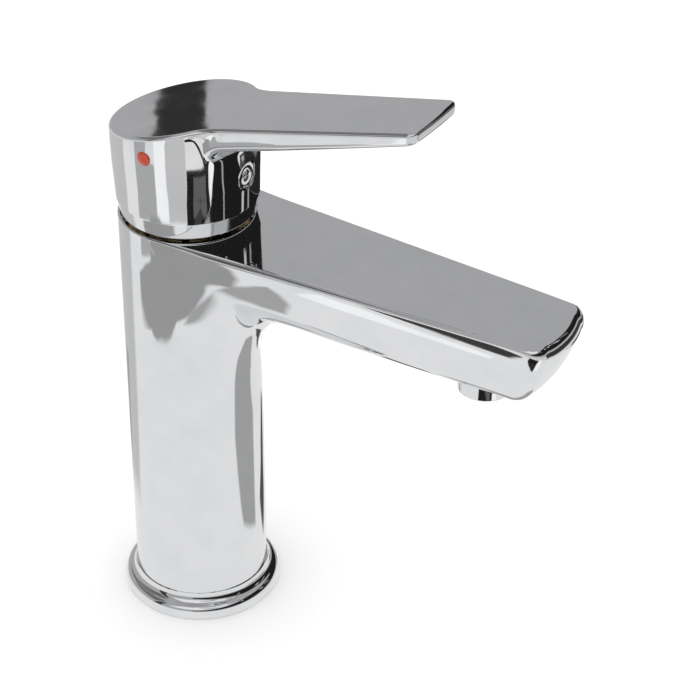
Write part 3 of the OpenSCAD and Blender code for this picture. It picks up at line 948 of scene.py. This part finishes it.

# painted reflection glow: each patch glows evenly by its tone, lights nothing and fades out over its border; it
# stands in for what the chrome reflects
reflection_glow = bpy.data.materials.new("reflection_glow")
reflection_glow.use_nodes = True
tree = reflection_glow.node_tree
tree.nodes.clear()
surface = tree.nodes.new("ShaderNodeOutputMaterial")
blend_in = tree.nodes.new("ShaderNodeMixShader")
glow = tree.nodes.new("ShaderNodeEmission")
clear = tree.nodes.new("ShaderNodeBsdfTransparent")
shade = tree.nodes.new("ShaderNodeAttribute")
shade.attribute_name = "shade"
cover = tree.nodes.new("ShaderNodeAttribute")
cover.attribute_name = "cover"
tree.links.new(shade.outputs["Fac"], glow.inputs["Strength"])
tree.links.new(cover.outputs["Fac"], blend_in.inputs["Fac"])
tree.links.new(clear.outputs[0], blend_in.inputs[1])
tree.links.new(glow.outputs[0], blend_in.inputs[2])
tree.links.new(blend_in.outputs[0], surface.inputs["Surface"])

painted_reflections = []
DOME = 40.0


def painted_reflection(outline, tone, feather, place_of):
    """A painted reflection: a glowing patch with a soft border, seen only in reflections; place_of turns
    outline points into places.
    """
    number = len(painted_reflections) + 1
    # outline points closely spaced, so that a long edge follows the dome
    dense = []
    for a, b in zip(outline, outline[1:] + outline[:1]):
        for k in range(8):
            dense.append((a[0] + (b[0] - a[0]) * k / 8, a[1] + (b[1] - a[1]) * k / 8))
    cx = sum(p[0] for p in outline) / len(outline)
    cy = sum(p[1] for p in outline) / len(outline)
    size = len(dense)
    inner = []
    for x, y in dense:
        away = max(math.hypot(x - cx, y - cy), 1e-6)
        keep = max(1 - feather / away, 0.0)
        inner.append((cx + (x - cx) * keep, cy + (y - cy) * keep))
    rings = [[(cx + (x - cx) * k / 4, cy + (y - cy) * k / 4) for x, y in inner] for k in (1, 2, 3, 4)]
    points = [(cx, cy)] + [p for ring_points in rings for p in ring_points] + dense
    faces = [(0, 1 + k, 1 + (k + 1) % size) for k in range(size)]
    for r in range(4):
        low = 1 + r * size
        for k in range(size):
            n = (k + 1) % size
            faces.append((low + k, low + size + k, low + size + n, low + n))
    mesh = bpy.data.meshes.new("painted_reflection")
    mesh.from_pydata([place_of(*p, number) for p in points], [], faces)
    for layer, values in (("shade", [tone] * len(points)),
                          ("cover", [1.0] * (len(points) - size) + [0.0] * size)):
        mesh.attributes.new(layer, "FLOAT", "POINT").data.foreach_set("value", values)
    panel = bpy.data.objects.new(f"card_{number}", mesh)
    bpy.context.scene.collection.objects.link(panel)
    panel.visible_camera = panel.visible_diffuse = panel.visible_shadow = False
    panel.visible_transmission = panel.visible_volume_scatter = False
    panel.data.materials.append(reflection_glow)
    painted_reflections.append(panel)


def level_at(height):
    """Lays painted reflection patches level at a height in millimetres, each a hair above the one before."""
    return lambda x, y, number: (x * MM, y * MM, (height + 0.05 * number) * MM)


def on_dome(azimuth, height, number):
    """Hangs painted reflection patches on a wide dome, by azimuth and height in degrees, each inside the one
    before.
    """
    a, h, r = math.radians(azimuth), math.radians(height), DOME - 0.1 * number
    return (r * math.cos(a) * math.cos(h), r * math.sin(a) * math.cos(h), r * math.sin(h))


def disc(radius, sides=24):
    """Outline of a round painted reflection patch about the column."""
    turns = [math.tau * k / sides for k in range(sides)]
    return [(radius * math.cos(a), radius * math.sin(a)) for a in turns]


def sector(start, end, near, far, steps=6):
    """Outline of part of a ring on the floor, by angles and radii."""
    turns = [math.radians(start + (end - start) * k / steps) for k in range(steps + 1)]
    return ([(far * math.cos(a), far * math.sin(a)) for a in turns]
            + [(near * math.cos(a), near * math.sin(a)) for a in reversed(turns)])


# painted reflections on the floor, seen only by the chrome: outline in millimetres, tone, soft border
FLOOR_REFLECTIONS = [
    (disc(4300), 0.52, 900),
    (disc(1500), 0.70, 600),
    (disc(430), 0.86, 90),
    (sector(14, 74, 430, 3500), 0.04, 90),
    (sector(148, 200, 60, 420), 0.58, 22),
    ([(-160, 28), (-80, 20), (-75, 45), (-150, 68)], 0.40, 10),
    (sector(-137, -103, 252, 336), 0.45, 4),
    (sector(-137, -116, 334, 390), 0.45, 4),
    (sector(-103, -84, 252, 390), 1.05, 4),
    (sector(-84, -57, 252, 390), 0.60, 4),
    (sector(-57, -20, 190, 322), 0.015, 4),
    (sector(-48, -25, 258, 306), 0.13, 5),
    (sector(-19, -8, 200, 390), 1.05, 4),
    ([(-118, -178), (-97, -167), (-46, -183), (6, -193), (40, -203), (45, -240), (-50, -258),
      (-112, -238)], 0.36, 6),
    ([(58, 12), (118, 12), (152, 24), (158, 60), (120, 110), (80, 96), (40, 32)], 0.40, 5),
    ([(22, 30), (36, 50), (32, 90), (18, 128), (4, 122), (12, 60)], 0.09, 6),
    ([(-40, 90), (-8, 100), (-5, 150), (-45, 150)], 1.1, 8),
    (sector(40, 118, 258, 336), 0.02, 30),
    ([(205, 200), (255, 160), (265, 175), (215, 225)], 0.05, 6),
    ([(160, -85), (200, -88), (185, -118), (158, -130)], 0.03, 8),
]
for outline, tone, feather in FLOOR_REFLECTIONS:
    painted_reflection(outline, tone, feather, level_at(0.3))

# painted reflections hung on stands beside the body, seen only by the spout and its blend: height, outline,
# tone, soft border
STAND_REFLECTIONS = [
    (115, [(-34, -42), (-20, -32), (-8, -25), (-2, -22), (4, -22), (5, -25), (9, -28), (16, -29), (19, -29),
           (18, -40), (12, -52), (2, -60), (-10, -64), (-22, -62), (-30, -54)], 0.36, 3.0),
    (115, [(12, -26), (20, -21), (30, -19), (40, -20), (40, -30), (34, -38), (27, -44), (20, -36),
           (14, -30)], 0.42, 3.0),
    (92, [(40, -84), (58, -78), (78, -70), (104, -68), (108, -78), (90, -86), (60, -90)], 0.05, 2.5),
    (92, [(22, -64), (100, -54), (100, -62), (28, -78)], 1.05, 2.0),
]
for height, outline, tone, feather in STAND_REFLECTIONS:
    painted_reflection(outline, tone, feather, level_at(height))

# painted reflections on the dome around the set: outline as azimuth and height in degrees, tone, soft border
DOME_REFLECTIONS = [
    ([(-72, 5), (-72, 14), (-12, 38), (25, 53), (70, 46), (108, 35), (111, 24), (108, 14), (60, 6)],
     0.015, 2.0),
    ([(40, 26), (46, 26), (47, 40), (41, 40)], 0.7, 1.0),
    ([(3, 26), (5.5, 26), (6, 40), (3.5, 40)], 0.5, 0.6),
    ([(55, 26), (60, 26), (61, 40), (56, 40)], 0.45, 1.0),
    ([(-126, 0), (-126, 52), (-116, 45), (-112, 0)], 0.05, 3.0),
    ([(-180, 30), (-180, 68), (-130, 60), (-126, 30)], 0.16, 5.0),
    ([(145, 22), (180, 38), (180, 60), (150, 50)], 0.18, 5.0),
    ([(-108, 28), (-100, 62), (-5, 64), (-10, 46), (-60, 27)], 0.90, 4.0),
    ([(132.07, 8), (133.2, 8), (135.85, 12), (134.0, 12)], 0.03, 0.05),
]
for outline, tone, feather in DOME_REFLECTIONS:
    painted_reflection(outline, tone, feather, on_dome)

# the room: an even white light on the object and floor; reflections alone see a painted grey wall in place of
# it
world = bpy.data.worlds.new("studio")
bpy.context.scene.world = world
world.use_nodes = True
tree = world.node_tree
tree.nodes.clear()
surface = tree.nodes.new("ShaderNodeOutputWorld")
plain = tree.nodes.new("ShaderNodeBackground")
plain.inputs["Color"].default_value = (1, 1, 1, 1)
plain.inputs["Strength"].default_value = 1.3
painted_grey_reflection = tree.nodes.new("ShaderNodeBackground")
painted_grey_reflection.inputs["Color"].default_value = (0.43, 0.43, 0.435, 1)
mix = tree.nodes.new("ShaderNodeMixShader")
tree.links.new(tree.nodes.new("ShaderNodeLightPath").outputs["Is Glossy Ray"], mix.inputs["Fac"])
tree.links.new(plain.outputs[0], mix.inputs[1])
tree.links.new(painted_grey_reflection.outputs[0], mix.inputs[2])
tree.links.new(mix.outputs[0], surface.inputs["Surface"])
bpy.context.scene.view_settings.view_transform = "Standard"

# the camera, from the front and to one side, with a slight tilt
AZIMUTH, ELEVATION, TILT = math.radians(31.547), math.radians(33.923), math.radians(0.342)
LOOKS_AT = Vector((0.061576, 0, 0.117643))
DISTANCE = 0.72984
cam = bpy.data.cameras.new("camera")
cam.lens = 117.35
cam.sensor_width = 36
camera = bpy.data.objects.new("camera", cam)
bpy.context.scene.collection.objects.link(camera)
back = Vector((math.sin(AZIMUTH) * math.cos(ELEVATION), -math.cos(AZIMUTH) * math.cos(ELEVATION),
               math.sin(ELEVATION)))
camera.rotation_mode = "QUATERNION"
camera.rotation_quaternion = Quaternion(-back, -TILT) @ (-back).to_track_quat("-Z", "Y")
camera.location = LOOKS_AT + back * DISTANCE
cam.clip_start, cam.clip_end = 0.05, 20
bpy.context.scene.camera = camera
